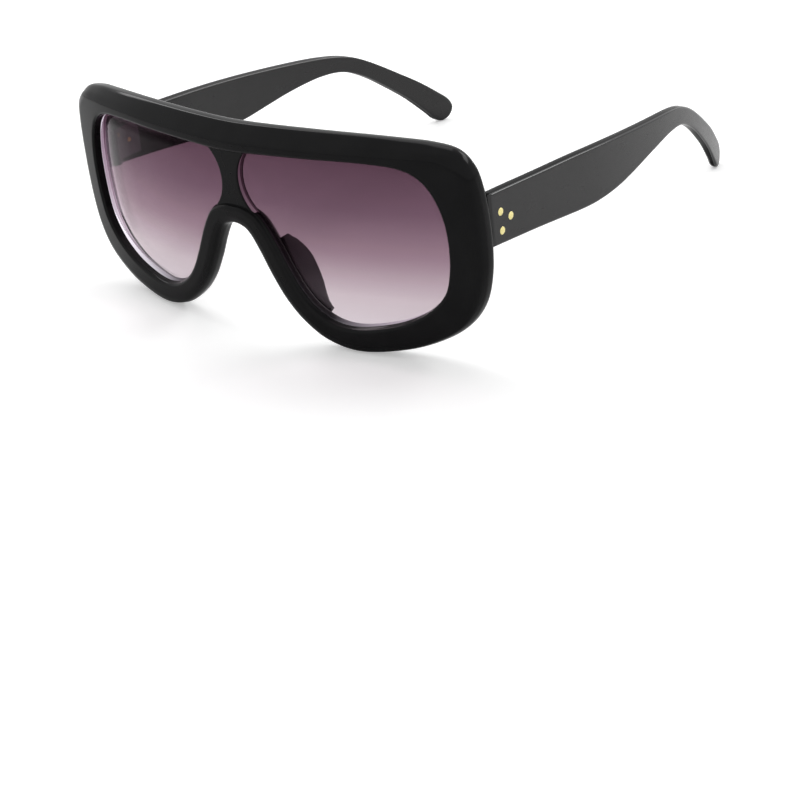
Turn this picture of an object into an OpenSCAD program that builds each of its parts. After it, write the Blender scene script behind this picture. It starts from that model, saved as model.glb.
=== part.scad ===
// Oversized sunglasses with a wrapped one-window front, two curved lenses and folding temples.
// X runs across the face, Y from the front towards the ears and Z upwards.
// The origin lies on the table, midway between the front and the tips of the temples.

/* [Front] */
// Width of the front over both ends
front_w = 146.5; // [138:0.5:156]
// Width of the rims beside the hinges
rim_side_w = 8.6; // [8.4:0.1:10]
// Height of the front from the rim bottoms to the brow
front_h = 60.8; // [56:0.2:66]
// Radius of the front face, seen from above
wrap_r = 200; // [170:5:300]
// Thickness of the rims from front to back
rim_t = 6; // [5.8:0.1:6.8]
// Thickness of the brow from front to back
brow_t = 7.2; // [6.8:0.1:8.6]
// Height of the brow's slope
brow_slope_h = 4.2; // [2.5:0.1:4.8]
// Width of the rounding along the outer edge
edge_round = 2.5; // [1:0.1:2.8]
// Width of the rounding along the window edge
lip_round = 1; // [0.6:0.1:1.3]
// Width of the bevel behind the lenses
back_bevel = 1.6; // [1:0.1:1.8]

/* [Lenses] */
// Depth of the lenses behind the front face, next to the bar
lens_recess = 1.7; // [1.6:0.1:2.2]
// How much deeper the lenses lie at the hinges, where they curve back more than the front
lens_drop = 1.1; // [0.6:0.1:1.3]
// Thickness of a lens
lens_t = 1.6; // [1.2:0.1:1.8]
// How far a lens edge reaches into its groove
lens_bite = 0.8; // [0.5:0.1:1]
// Clearance round a lens in its groove
lens_gap = 0.05; // [0.02:0.01:0.1]

/* [Bar between the lenses] */
// Width of the bar at its waist
bar_w = 6; // [4:0.2:8]
// Radius of the hollow sides of the bar
bar_side_r = 11.7; // [9:0.1:16]
// Depth of the bar behind the front face
bar_recess = 1.2; // [0.8:0.1:1.2]

/* [Nose pads] */
// How far a nose pad stands behind the rims
pad_reach = 4.8; // [3.6:0.1:5.6]
// How far the back edge of a nose pad spreads away from the nose
pad_flare = 1.2; // [0.4:0.1:1.8]
// Radius of the edges of a nose pad
pad_edge_r = 0.9; // [0.6:0.1:1.1]
// Gap of the glue line under a nose pad
pad_gap = 0.06; // [0.05:0.01:0.2]

/* [Temples] */
// How far the outer face of a temple lies in from the end of the front
temple_inset = 0.9; // [0.6:0.1:2]
// Reach of a temple behind the front
temple_len = 139; // [128:0.5:150]
// Height of a temple's top edge over the table at the hinge
temple_top_z = 45; // [43:0.2:49]
// Thickness of a temple
temple_t = 3.4; // [3.2:0.1:4.2]
// Thickness of a temple at its tip
temple_tip_t = 2.6; // [2.3:0.1:3.1]
// Length of the straight, flat run behind the front
temple_straight = 41; // [24:1:52]
// Radius of the inward curve behind the straight run
temple_curve_r = 305; // [240:5:400]
// Distance from the front to the start of the ear hook's stronger inward curve
hook_start = 76; // [62:1:88]
// Radius of the ear hook's inward curve
hook_curve_r = 230; // [180:2:300]
// Gap between the front and the butt end of an open temple
butt_gap = 0.3; // [0.2:0.05:0.5]

/* [Hinges] */
// Distance from a temple's top edge down to the middle of its hinge
hinge_drop = 8.6; // [7.6:0.1:9.4]
// Height of one knuckle
knuckle_h = 1.84; // [1.4:0.02:2]
// Gap between two knuckles
knuckle_gap = 0.1; // [0.05:0.01:0.2]
// Radius of the knuckles
barrel_r = 1.7; // [1.5:0.05:1.9]
// Gap between the knuckles and the back of the front
barrel_gap = 0.8; // [0.5:0.1:1.2]
// Gap between the knuckles and the inner face of a temple
temple_barrel_gap = 0.4; // [0.35:0.05:0.8]
// Radius of the hinge screw
screw_r = 0.7; // [0.6:0.05:0.9]
// Running clearance round the hinge screw
screw_clear = 0.04; // [0.02:0.01:0.08]
// Radius of the screw's head
screw_head_r = 1.3; // [1:0.05:1.6]
// Height of the screw's head
screw_head_h = 0.7; // [0.5:0.1:1.2]
// Thickness of a hinge leaf
leaf_t = 1.3; // [1:0.1:1.5]
// Depth that the temple's leaf is let into the temple
leaf_sink = 0.8; // [0.5:0.1:1]
// Width of the leaf in the front
front_leaf_w = 5; // [4.4:0.1:5]
// Length of the leaf along the temple
temple_leaf_l = 9.6; // [8.5:0.1:14]
// Clearance round a leaf in its seat
leaf_clear = 0.05; // [0.02:0.01:0.1]

/* [Rivets] */
// Radius of a rivet's head
rivet_head_r = 1.1; // [1:0.05:1.5]
// Thickness of a rivet's head
rivet_head_h = 0.6; // [0.4:0.1:0.8]
// Radius of a rivet's shank
rivet_r = 0.75; // [0.6:0.05:0.95]
// Clearance round a rivet
rivet_clear = 0.05; // [0.02:0.01:0.1]
// Distance between the two rivets next to the front
rivet_spread = 5.2; // [4:0.1:6]
// Distance from those two rivets to the third one
rivet_pitch = 4; // [3:0.1:5]

/* [Core wires] */
// Width of a core wire, measured up and down
wire_w = 2.2; // [1.4:0.1:2.6]
// Thickness of a core wire
wire_t = 1.2; // [0.8:0.1:1.4]
// Clearance round a core wire
wire_clear = 0.05; // [0.02:0.01:0.1]

/* [Hidden] */
black = [0.06, 0.06, 0.065];
pad_grey = [0.38, 0.37, 0.39];
smoke = [0.52, 0.43, 0.48, 0.6];
steel = [0.7, 0.7, 0.72];
brass = [0.86, 0.76, 0.45];
right = 1;
left = -1;
// One overrun serves all cuts
over = front_w / 100;

// Frame outline, right half, from the top centre round the end and the rim to the nose arch.
// Each row holds the outer edge, the window edge and how much the brow's section counts.
// Across, the edges are shares of the front's and the window's half width, and upwards of the height.
outline_shares = [
    [[0.000, 0.993], [0.000, 0.876], 1.00],
    [[0.194, 0.997], [0.219, 0.885], 1.00],
    [[0.368, 1.000], [0.416, 0.891], 0.97],
    [[0.560, 1.000], [0.626, 0.895], 0.84],
    [[0.710, 0.994], [0.783, 0.887], 0.74],
    [[0.824, 0.982], [0.864, 0.867], 0.66],
    [[0.914, 0.955], [0.916, 0.830], 0.38],
    [[0.966, 0.889], [0.951, 0.780], 0.04],
    [[0.988, 0.792], [0.977, 0.713], 0.00],
    [[0.999, 0.659], [0.995, 0.629], 0.00],
    [[1.000, 0.520], [1.000, 0.528], 0.00],
    [[0.990, 0.385], [0.992, 0.422], 0.00],
    [[0.962, 0.261], [0.967, 0.325], 0.00],
    [[0.904, 0.161], [0.906, 0.246], 0.00],
    [[0.810, 0.089], [0.830, 0.192], 0.00],
    [[0.680, 0.033], [0.724, 0.147], 0.00],
    [[0.502, 0.000], [0.572, 0.115], 0.00],
    [[0.368, 0.032], [0.462, 0.125], 0.00],
    [[0.270, 0.108], [0.370, 0.177], 0.00],
    [[0.199, 0.202], [0.306, 0.250], 0.00],
    [[0.145, 0.311], [0.250, 0.352], 0.00],
    [[0.101, 0.420], [0.193, 0.474], 0.00],
    [[0.064, 0.493], [0.133, 0.570], 0.00],
    [[0.033, 0.518], [0.062, 0.609], 0.00],
    [[0.000, 0.525], [0.000, 0.614], 0.00]
];
// Section of the outer edge of a rim, as shares of its rounding and of the rim's thickness
rim_edge_shares = [[1, 0], [0.34, 0.09], [0.05, 0.32], [0, 0.5], [0.07, 0.77], [0.4, 0.95], [0.82, 1]];
// Section of the sloped brow, as shares of its slope's height and of the brow's thickness
brow_edge_shares = [[1, 0], [0.66, 0.18], [0.33, 0.36], [0.07, 0.51], [0, 0.6], [0.02, 0.88], [0.22, 1]];
// Rings between two rows of the outline
ring_steps = 3;

// Side of a temple, from the hinge along the top edge, round the tip and back along the lower edge.
// The points are shares of the temple's reach and of its height at the hinge.
temple_side_shares = [
    [-0.040, 1.004], [0.000, 1.000], [0.159, 0.957], [0.292, 0.922], [0.432, 0.875],
    [0.601, 0.809], [0.675, 0.772], [0.727, 0.731], [0.773, 0.665], [0.821, 0.571],
    [0.863, 0.480], [0.920, 0.353], [0.965, 0.236], [0.990, 0.163], [1.000, 0.095],
    [0.991, 0.030], [0.970, 0.000], [0.949, 0.033], [0.933, 0.092], [0.888, 0.243],
    [0.838, 0.378], [0.787, 0.502], [0.740, 0.589], [0.699, 0.632], [0.648, 0.645],
    [0.598, 0.637], [0.544, 0.620], [0.500, 0.601], [0.458, 0.583], [0.420, 0.569],
    [0.361, 0.561], [0.290, 0.572], [0.145, 0.630], [0.000, 0.681], [-0.040, 0.693]
];
// Middle of the core wire behind its front end, as shares like those of the temple's side
wire_shares = [
    [0.160, 0.785], [0.290, 0.735], [0.434, 0.708], [0.604, 0.718],
    [0.678, 0.702], [0.737, 0.660], [0.785, 0.580], [0.835, 0.472], [0.880, 0.356], [0.930, 0.215]
];
curve_steps = 3;

half_w = front_w / 2;
window_half_w = half_w - rim_side_w;
lens_back = lens_recess + lens_t;
// A lens's own radius and the middle of its curve
lens_r = 1 / (1 / wrap_r + 2 * lens_drop / pow(window_half_w, 2));
lens_centre_y = lens_recess + lens_r;
groove_floor = lens_bite + lens_gap;
// How far the lower wall of the window closes in towards the lens
wall_draft = lip_round / 3;
// How much of the wall behind the lens stays upright before the bevel starts
back_lip_share = 0.15;
lens_shell_r = [lens_r, lens_r - lens_t];
groove_r = [lens_shell_r[0] + lens_gap, lens_shell_r[1] - lens_gap];
// The bar's groove is a little wider than the rim's, which the sweep forms
bar_groove_r = [lens_shell_r[0] + 2 * lens_gap, lens_shell_r[1] - 2 * lens_gap];
bar_back = lens_back + lens_t * 0.35;
bar_z_share = 0.736;
bar_end_shares = [0.587, 0.914];
bar_z = front_h * bar_z_share;
// Width over which the bar's ends part the two lenses
bar_root_w = bar_w + bar_side_r * 0.9;
back_r = wrap_r - rim_t;

temple_x = half_w - temple_inset;
temple_in_x = temple_x - temple_t;
butt_r = back_r - butt_gap;
butt_y = wrap_r - sqrt(pow(back_r, 2) - pow(temple_x, 2));
bend_y = butt_y + temple_straight;
// Middles of the temple's two inward curves and of the hook's inner face, which thins towards the tip
curve_angle = asin((hook_start - temple_straight) / temple_curve_r);
curve_way = [cos(curve_angle), sin(curve_angle)];
curve_centre = [temple_x - temple_curve_r, bend_y];
hook_centre = curve_centre + curve_way * (temple_curve_r - hook_curve_r);
hook_len = temple_len - hook_start;
hook_inner_r = 1 / (1 / (hook_curve_r - temple_t) - 2 * (temple_t - temple_tip_t) / pow(hook_len, 2));
hook_inner_centre = curve_centre + curve_way * (temple_curve_r - temple_t - hook_inner_r);
overall_d = butt_y + temple_len;

// The hinge's axis stands off the back of the front and off the inner face of the temple
axis_r = back_r - barrel_gap - barrel_r;
axis_x = temple_in_x - temple_barrel_gap - barrel_r;
axis_angle = asin(axis_x / axis_r);
axis_y = wrap_r - axis_r * cos(axis_angle);
knuckles = 5;
knuckle_pitch = knuckle_h + knuckle_gap;
hinge_h = knuckles * knuckle_pitch - knuckle_gap;
hinge_z = temple_top_z - hinge_drop;
hinge_bottom = hinge_z - hinge_h / 2;
neck_w = barrel_r * 1.3;
leaf_outer_share = 0.76;
temple_leaf_y = axis_y + barrel_r + temple_barrel_gap;
temple_leaf_x = temple_in_x + leaf_sink - leaf_t;
rivet_y = temple_leaf_y + rivet_head_r + temple_barrel_gap;
rivet_places = [
    [rivet_y, hinge_z + rivet_spread / 2],
    [rivet_y, hinge_z - rivet_spread / 2],
    [rivet_y + rivet_pitch, hinge_z]
];
wire_start_y = rivet_y + rivet_pitch + rivet_r + rivet_clear;
slot_w = screw_r * 0.6;
slot_d = screw_head_h * 0.5;

// One point of a smooth curve that passes through b and c
function spline(a, b, c, d, t) =
    b + (c - a) * t / 2
    + (2 * a - 5 * b + 4 * c - d) * t * t / 2
    + (3 * b - a - 3 * c + d) * t * t * t / 2;

// A smooth curve through the points of a closed loop
function closed_curve(points, steps) = [
    for (i = [0 : len(points) - 1], s = [0 : steps - 1])
        let (n = len(points))
        spline(points[(i + n - 1) % n], points[i], points[(i + 1) % n], points[(i + 2) % n], s / steps)
];

// A smooth curve through the points of an open line
function open_curve(points, steps) = let (last = len(points) - 1) [
    for (i = [0 : last - 1], s = [0 : steps - 1])
        spline(points[max(i - 1, 0)], points[i], points[i + 1], points[min(i + 2, last)], s / steps),
    points[last]
];

// The outline's rows in millimetres, and the same rows on the left half
function outline_row(k, side) = let (row = outline_shares[k]) [
    side * row[0][0] * half_w, row[0][1] * front_h,
    side * row[1][0] * window_half_w, row[1][1] * front_h,
    row[2]
];
last_row = len(outline_shares) - 1;
outline_rows = [
    for (k = [0 : last_row]) outline_row(k, right),
    for (k = [last_row - 1 : -1 : 1]) outline_row(k, left)
];
rings = closed_curve(outline_rows, ring_steps);

function outer_of(ring) = [ring[0], ring[1]];
function window_of(ring) = [ring[2], ring[3]];
function brow_of(ring) = min(max(ring[4], 0), 1);
function outward(ring) = (outer_of(ring) - window_of(ring)) / norm(outer_of(ring) - window_of(ring));
function mix(a, b, share) = a + (b - a) * share;

// The window edge, moved by m into the rim
function window_point(ring, m) = window_of(ring) + outward(ring) * m;

// A place on the wrapped front, at a depth behind its face
function wrapped(place, depth) =
    [place[0], wrap_r - sqrt(pow(wrap_r - depth, 2) - pow(place[0], 2)), place[1]];

// A place on the curve of the lenses, at a radius round its middle, and its depth behind the face
function on_lens(place, r) = [place[0], lens_centre_y - sqrt(pow(r, 2) - pow(place[0], 2)), place[1]];
function depth_of(point) = wrap_r - norm([point[0], wrap_r - point[1]]);

function outer_section(ring) = [
    for (k = [0 : len(rim_edge_shares) - 1])
        let (
            rim = [rim_edge_shares[k][0] * edge_round, rim_edge_shares[k][1] * rim_t],
            brow = [brow_edge_shares[k][0] * brow_slope_h, brow_edge_shares[k][1] * brow_t],
            point = mix(rim, brow, brow_of(ring))
        )
        wrapped(outer_of(ring) - outward(ring) * point[0], point[1])
];

function inner_section(ring) = let (
    back = mix(rim_t, brow_t, brow_of(ring)),
    lip = window_point(ring, -wall_draft),
    floor = window_point(ring, groove_floor),
    lip_depth = depth_of(on_lens(lip, groove_r[1]))
) [
    wrapped(window_point(ring, back_bevel), back),
    wrapped(lip, mix(lip_depth, rim_t, back_lip_share)),
    on_lens(lip, groove_r[1]),
    on_lens(floor, groove_r[1]),
    on_lens(floor, groove_r[0]),
    on_lens(lip, groove_r[0]),
    wrapped(window_of(ring), lip_round),
    wrapped(window_point(ring, lip_round * 0.35), lip_round * 0.25),
    wrapped(window_point(ring, lip_round), 0)
];

function section(ring) = concat(outer_section(ring), inner_section(ring));

// Mirrors what follows onto the left side
module on_side(side) {
    mirror([side == left ? 1 : 0, 0, 0]) children();
}

// Sets the front's own frame, with its face at zero, on the part's origin
module placed() {
    translate([0, -overall_d / 2, 0]) children();
}

// A wall that follows the wrapped front or the lenses, between two radii round a middle
module wrapped_shell(centre_y, outer_r, inner_r) {
    translate([0, centre_y, -over]) difference() {
        cylinder(r = outer_r, h = front_h + 2 * over, $fn = 256);
        translate([0, 0, -over]) cylinder(r = inner_r, h = front_h + 4 * over, $fn = 256);
    }
}

// A flat outline in the XZ plane, given its depth along Y
module standing(depth) {
    translate([0, depth, 0]) rotate([90, 0, 0]) linear_extrude(height = depth) children();
}

// The closed rim, swept round the outline
module rim() {
    profile = [for (ring = rings) section(ring)];
    n = len(profile);
    m = len(profile[0]);
    points = [for (s = profile, p = s) p];
    faces = [
        for (i = [0 : n - 1], j = [0 : m - 1])
            let (
                a = i * m + j,
                b = i * m + (j + 1) % m,
                c = ((i + 1) % n) * m + (j + 1) % m,
                d = ((i + 1) % n) * m + j
            )
            each [[a, b, c], [a, c, d]]
    ];
    polyhedron(points = points, faces = faces, convexity = 6);
}

// The two round hollows beside the bar, grown by a margin
module bar_hollows(margin) {
    for (side = [left, right])
        translate([side * (bar_w / 2 + bar_side_r), 0, bar_z]) rotate([-90, 0, 0])
            cylinder(r = bar_side_r + margin, h = wrap_r / 4, $fn = 96);
}

// The bar, with hollows that reach further into its sides by a margin
module bar_body(margin) {
    bar_top = front_h * bar_end_shares[1];
    bar_bottom = front_h * bar_end_shares[0];
    block_w = bar_w + bar_side_r;
    difference() {
        translate([-block_w / 2, 0, bar_bottom]) cube([block_w, wrap_r / 8, bar_top - bar_bottom]);
        translate([0, -over, 0]) bar_hollows(margin);
    }
}

module bar() {
    difference() {
        intersection() {
            bar_body(0);
            wrapped_shell(wrap_r, wrap_r - bar_recess, wrap_r - bar_back);
        }
        intersection() {
            translate([0, -over, 0]) bar_hollows(groove_floor);
            wrapped_shell(lens_centre_y, bar_groove_r[0], bar_groove_r[1]);
        }
    }
}

// The plate of the leaf in the front, grown by a clearance
module front_leaf_plate(clear) {
    x0 = -front_leaf_w * (1 - leaf_outer_share);
    y0 = -(barrel_r + barrel_gap) - leaf_t;
    translate([x0 - clear, y0 - clear, -hinge_h / 2 - clear])
        cube([front_leaf_w + 2 * clear, leaf_t + 2 * clear, hinge_h + 2 * clear]);
}

// Places what follows at the hinge's axis, turned to face the back of the front
module at_front_hinge() {
    translate([axis_x, axis_y, hinge_z]) rotate([0, 0, axis_angle]) children();
}

module knuckle(k) {
    translate([0, 0, k * knuckle_pitch - hinge_h / 2]) cylinder(r = barrel_r, h = knuckle_h, $fn = 48);
}

module screw_bore() {
    translate([0, 0, -hinge_h / 2 - over]) cylinder(r = screw_r + screw_clear, h = hinge_h + 2 * over, $fn = 48);
}

module front_leaf() {
    at_front_hinge() difference() {
        union() {
            front_leaf_plate(0);
            for (k = [0 : 2 : knuckles - 1]) {
                knuckle(k);
                translate([-neck_w / 2, -(barrel_r + barrel_gap) - leaf_t / 2, k * knuckle_pitch - hinge_h / 2])
                    cube([neck_w, barrel_r + barrel_gap + leaf_t / 2, knuckle_h]);
            }
        }
        screw_bore();
    }
}

module hinge_screw() {
    translate([axis_x, axis_y, hinge_bottom]) difference() {
        union() {
            cylinder(r = screw_r, h = hinge_h + screw_head_h / 2, $fn = 48);
            translate([0, 0, hinge_h]) cylinder(r = screw_head_r, h = screw_head_h, $fn = 48);
        }
        translate([-screw_head_r - over, -slot_w / 2, hinge_h + screw_head_h - slot_d])
            cube([2 * (screw_head_r + over), slot_w, slot_d + over]);
    }
}

// The plate of the leaf on the temple
module temple_leaf_plate() {
    translate([temple_leaf_x, temple_leaf_y, hinge_bottom]) cube([leaf_t, temple_leaf_l, hinge_h]);
}

// The seat of that leaf, open towards the front
module temple_leaf_seat() {
    translate([temple_in_x - over, axis_y - leaf_clear, hinge_bottom - leaf_clear])
        cube([
            leaf_sink + leaf_clear + over,
            temple_leaf_y + temple_leaf_l - axis_y + 2 * leaf_clear,
            hinge_h + 2 * leaf_clear
        ]);
}

module rivet_holes(clear) {
    for (place = rivet_places)
        translate([temple_leaf_x - over, place[0], place[1]]) rotate([0, 90, 0])
            cylinder(r = rivet_r + clear, h = temple_x - temple_leaf_x + 2 * over, $fn = 48);
}

module temple_leaf() {
    neck_reach = temple_leaf_x + leaf_t - axis_x;
    difference() {
        union() {
            temple_leaf_plate();
            translate([axis_x, axis_y, hinge_z]) for (k = [1 : 2 : knuckles - 1]) {
                knuckle(k);
                translate([0, 0, k * knuckle_pitch - hinge_h / 2])
                    cube([neck_reach, temple_leaf_y + leaf_t - axis_y, knuckle_h]);
            }
        }
        translate([axis_x, axis_y, hinge_z]) screw_bore();
        rivet_holes(rivet_clear);
    }
}

module rivets() {
    for (place = rivet_places) translate([0, place[0], place[1]]) rotate([0, 90, 0]) {
        translate([0, 0, temple_leaf_x])
            cylinder(r = rivet_r, h = temple_x - rivet_clear - temple_leaf_x, $fn = 48);
        translate([0, 0, temple_x - rivet_clear - rivet_head_h])
            cylinder(r = rivet_head_r, h = rivet_head_h, $fn = 48);
    }
}

// The plan on the far side of the hook's start, left free by an overlap, and the plan on its near side
module past_join(overlap) {
    translate(curve_centre) rotate(curve_angle) translate([-2 * temple_curve_r, overlap]) square(4 * temple_curve_r);
}

module before_join(overlap) {
    translate(curve_centre) rotate(curve_angle)
        translate([-2 * temple_curve_r, -4 * temple_curve_r + overlap]) square(4 * temple_curve_r);
}

// The temple's shape seen from above, between two distances in from its outer face.
// The children cut the inner side of the hook.
module temple_plan(from_face, to_face) {
    translate([temple_x - to_face, 0]) square([to_face - from_face, bend_y + over]);
    difference() {
        translate(curve_centre) circle(r = temple_curve_r - from_face, $fn = 360);
        translate(curve_centre) circle(r = temple_curve_r - to_face, $fn = 360);
        translate([curve_centre[0] - 2 * temple_curve_r, bend_y - 4 * temple_curve_r]) square(4 * temple_curve_r);
        past_join(over);
    }
    difference() {
        translate(hook_centre) circle(r = hook_curve_r - from_face, $fn = 360);
        children();
        before_join(0);
        translate([hook_centre[0] - 2 * temple_curve_r, 0]) square([2 * temple_curve_r, 4 * temple_curve_r]);
    }
}

// A flat outline in the YZ plane, given its depth along X
module sideways(depth) {
    rotate([90, 0, 90]) linear_extrude(height = depth) children();
}

function temple_place(share) = [butt_y + share[0] * temple_len, share[1] * temple_top_z];

// Points beside a line, at a distance to its left
function beside(line, distance) = let (last = len(line) - 1) [
    for (i = [0 : last])
        let (run = line[min(i + 1, last)] - line[max(i - 1, 0)])
        line[i] + [-run[1], run[0]] / norm(run) * distance
];
function reversed(list) = [for (i = [len(list) - 1 : -1 : 0]) list[i]];

module wire_body(clear) {
    path = open_curve(
        concat([[wire_start_y - clear, hinge_z]], [for (s = wire_shares) temple_place(s)]),
        curve_steps
    );
    half = wire_w / 2 + clear;
    outer = temple_tip_t / 2 - wire_t / 2 - clear;
    inner = temple_tip_t / 2 + wire_t / 2 + clear;
    intersection() {
        sideways(temple_x + over) polygon(concat(beside(path, half), reversed(beside(path, -half))));
        linear_extrude(height = temple_top_z) temple_plan(outer, inner)
            translate(hook_centre) circle(r = hook_curve_r - inner, $fn = 360);
    }
}

module temple() {
    side = open_curve([for (s = temple_side_shares) temple_place(s)], curve_steps);
    difference() {
        intersection() {
            sideways(temple_x + over) polygon(side);
            translate([0, 0, -over]) linear_extrude(height = front_h) temple_plan(0, temple_t)
                translate(hook_inner_centre) circle(r = hook_inner_r, $fn = 360);
        }
        translate([0, wrap_r, -over]) difference() {
            cylinder(r = 2 * wrap_r, h = front_h + 2 * over, $fn = 256);
            translate([0, 0, -over]) cylinder(r = butt_r, h = front_h + 4 * over, $fn = 256);
        }
        temple_leaf_seat();
        rivet_holes(rivet_clear);
        for (place = rivet_places)
            translate([temple_x - rivet_head_h - 2 * rivet_clear, place[0], place[1]]) rotate([0, 90, 0])
                cylinder(r = rivet_head_r + rivet_clear, h = rivet_head_h + over, $fn = 48);
        wire_body(wire_clear);
    }
}

// A nose pad: a lobe that leans back along the window edge of the arch's leg.
// The rings that carry it start two thirds of the way from the outline's row 17 to row 18, counted from 0.
pad_first_ring = 17 * ring_steps + 2;
pad_reach_shares = [0.06, 0.22, 0.42, 0.62, 0.79, 0.91, 0.98, 1, 0.9, 0.64, 0.28];
pad_root_share = 0.45;
module nose_pad() {
    difference() {
        hull() for (k = [0 : len(pad_reach_shares) - 1]) {
            ring = rings[pad_first_ring + k];
            root = edge_round * pad_root_share + pad_edge_r;
            back = rim_t + pad_reach * pad_reach_shares[k] - pad_edge_r;
            spread = pad_edge_r - pad_flare * pad_reach_shares[k];
            translate(wrapped(outer_of(ring) - outward(ring) * root, rim_t)) pad_ball();
            translate(wrapped(window_point(ring, pad_edge_r), rim_t)) pad_ball();
            translate(wrapped(window_point(ring, spread), back)) pad_ball();
        }
        wrapped_shell(wrap_r, wrap_r, back_r - pad_gap);
    }
}

module pad_ball() {
    sphere(r = pad_edge_r, $fn = 24);
}

module lens() {
    outline = [for (ring = rings) window_point(ring, lens_bite)];
    difference() {
        intersection() {
            standing(wrap_r / 2) polygon(outline);
            wrapped_shell(lens_centre_y, lens_shell_r[0], lens_shell_r[1]);
            cube([front_w, wrap_r / 2, front_h]);
        }
        translate([-bar_root_w / 2, -over, 0]) difference() {
            cube([bar_root_w, wrap_r / 4, front_h]);
            translate([bar_root_w / 2, -over, 0]) bar_hollows(lens_bite);
        }
    }
}

module front_frame() {
    color(black) placed() difference() {
        union() {
            rim();
            bar();
        }
        for (side = [left, right]) on_side(side) at_front_hinge() front_leaf_plate(leaf_clear);
    }
}

module left_lens() {
    color(smoke) placed() on_side(left) lens();
}

module right_lens() {
    color(smoke) placed() on_side(right) lens();
}

module left_nose_pad() {
    color(pad_grey) placed() on_side(left) nose_pad();
}

module right_nose_pad() {
    color(pad_grey) placed() on_side(right) nose_pad();
}

module left_front_leaf() {
    color(steel) placed() on_side(left) front_leaf();
}

module right_front_leaf() {
    color(steel) placed() on_side(right) front_leaf();
}

module left_hinge_screw() {
    color(steel) placed() on_side(left) hinge_screw();
}

module right_hinge_screw() {
    color(steel) placed() on_side(right) hinge_screw();
}

module left_temple() {
    color(black) placed() on_side(left) temple();
}

module right_temple() {
    color(black) placed() on_side(right) temple();
}

module left_temple_leaf() {
    color(steel) placed() on_side(left) temple_leaf();
}

module right_temple_leaf() {
    color(steel) placed() on_side(right) temple_leaf();
}

module left_rivets() {
    color(brass) placed() on_side(left) rivets();
}

module right_rivets() {
    color(brass) placed() on_side(right) rivets();
}

module left_core_wire() {
    color(steel) placed() on_side(left) wire_body(0);
}

module right_core_wire() {
    color(steel) placed() on_side(right) wire_body(0);
}

front_frame();
left_lens();
right_lens();
left_nose_pad();
right_nose_pad();
left_front_leaf();
right_front_leaf();
left_hinge_screw();
right_hinge_screw();
left_temple();
right_temple();
left_temple_leaf();
right_temple_leaf();
left_rivets();
right_rivets();
left_core_wire();
right_core_wire();
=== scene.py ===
"""Dresses the oversized sunglasses: glossy front, tinted lenses, satin temples and metal."""
import math

import bmesh
import bpy
import numpy as np
from mathutils import Matrix, Vector


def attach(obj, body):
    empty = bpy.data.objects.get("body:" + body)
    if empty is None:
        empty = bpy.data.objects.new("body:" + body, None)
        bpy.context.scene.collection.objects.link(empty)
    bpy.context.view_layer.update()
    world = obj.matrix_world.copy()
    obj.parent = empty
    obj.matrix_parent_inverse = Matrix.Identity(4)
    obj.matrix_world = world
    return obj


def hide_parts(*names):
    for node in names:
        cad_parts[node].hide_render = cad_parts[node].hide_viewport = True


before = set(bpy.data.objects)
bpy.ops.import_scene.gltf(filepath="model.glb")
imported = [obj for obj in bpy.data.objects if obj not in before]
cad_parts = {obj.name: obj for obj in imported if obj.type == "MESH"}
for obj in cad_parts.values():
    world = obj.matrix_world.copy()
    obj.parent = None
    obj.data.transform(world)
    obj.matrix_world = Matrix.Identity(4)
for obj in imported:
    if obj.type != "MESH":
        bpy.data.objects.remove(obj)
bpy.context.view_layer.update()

MM = 0.001
LEFT, RIGHT = -1, 1
SIDE_NAMES = {LEFT: "left", RIGHT: "right"}
SIDE_BODIES = {LEFT: "left_side", RIGHT: "right_side"}

# Sizes in millimetres and shares of them, as in the part's source. y runs back from the middle
# of the front face.
FRONT_W, FRONT_H, RIM_SIDE_W = 146.5, 60.8, 8.6
WRAP_R, RIM_T, BROW_T, BROW_SLOPE_H = 200.0, 6.0, 7.2, 4.2
EDGE_ROUND, LIP_ROUND, BACK_BEVEL, BACK_LIP_SHARE = 2.5, 1.0, 1.6, 0.15
LENS_RECESS, LENS_DROP, LENS_T, LENS_BITE, LENS_GAP = 1.7, 1.1, 1.6, 0.8, 0.05
BAR_W, BAR_SIDE_R, BAR_RECESS, BAR_Z_SHARE = 6.0, 11.7, 1.2, 0.736
BAR_END_SHARES, BAR_ROOT_SHARE, BAR_BACK_SHARE = (0.587, 0.914), 0.9, 0.35
TEMPLE_INSET, TEMPLE_LEN, TEMPLE_TOP_Z = 0.9, 139.0, 45.0
TEMPLE_T, TEMPLE_TIP_T, BUTT_GAP = 3.4, 2.6, 0.3
TEMPLE_STRAIGHT, TEMPLE_CURVE_R, HOOK_START, HOOK_CURVE_R = 41.0, 305.0, 76.0, 230.0
HINGE_DROP, BARREL_R, BARREL_GAP, TEMPLE_BARREL_GAP = 8.6, 1.7, 0.8, 0.4
LEAF_T, LEAF_SINK = 1.3, 0.8
RIVET_R, RIVET_HEAD_R, RIVET_SPREAD, RIVET_PITCH = 0.75, 1.1, 5.2, 4.0
PAD_REACH, PAD_FLARE, PAD_EDGE_R = 4.8, 1.2, 0.9

# Places and radii that follow from them
HALF_W = FRONT_W / 2
WINDOW_HALF_W = HALF_W - RIM_SIDE_W
LENS_BACK = LENS_RECESS + LENS_T
LENS_R = 1 / (1 / WRAP_R + 2 * LENS_DROP / WINDOW_HALF_W ** 2)
LENS_CENTRE_Y = LENS_RECESS + LENS_R
GROOVE_FLOOR = LENS_BITE + LENS_GAP
GROOVE_FRONT_R, GROOVE_BACK_R = LENS_R + LENS_GAP, LENS_R - LENS_T - LENS_GAP
WALL_DRAFT = LIP_ROUND / 3
BAR_Z = FRONT_H * BAR_Z_SHARE
BAR_BACK = LENS_BACK + LENS_T * BAR_BACK_SHARE
BAR_ROOT_W = BAR_W + BAR_SIDE_R * BAR_ROOT_SHARE
BACK_R = WRAP_R - RIM_T
TEMPLE_X = HALF_W - TEMPLE_INSET
TEMPLE_IN_X = TEMPLE_X - TEMPLE_T
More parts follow.
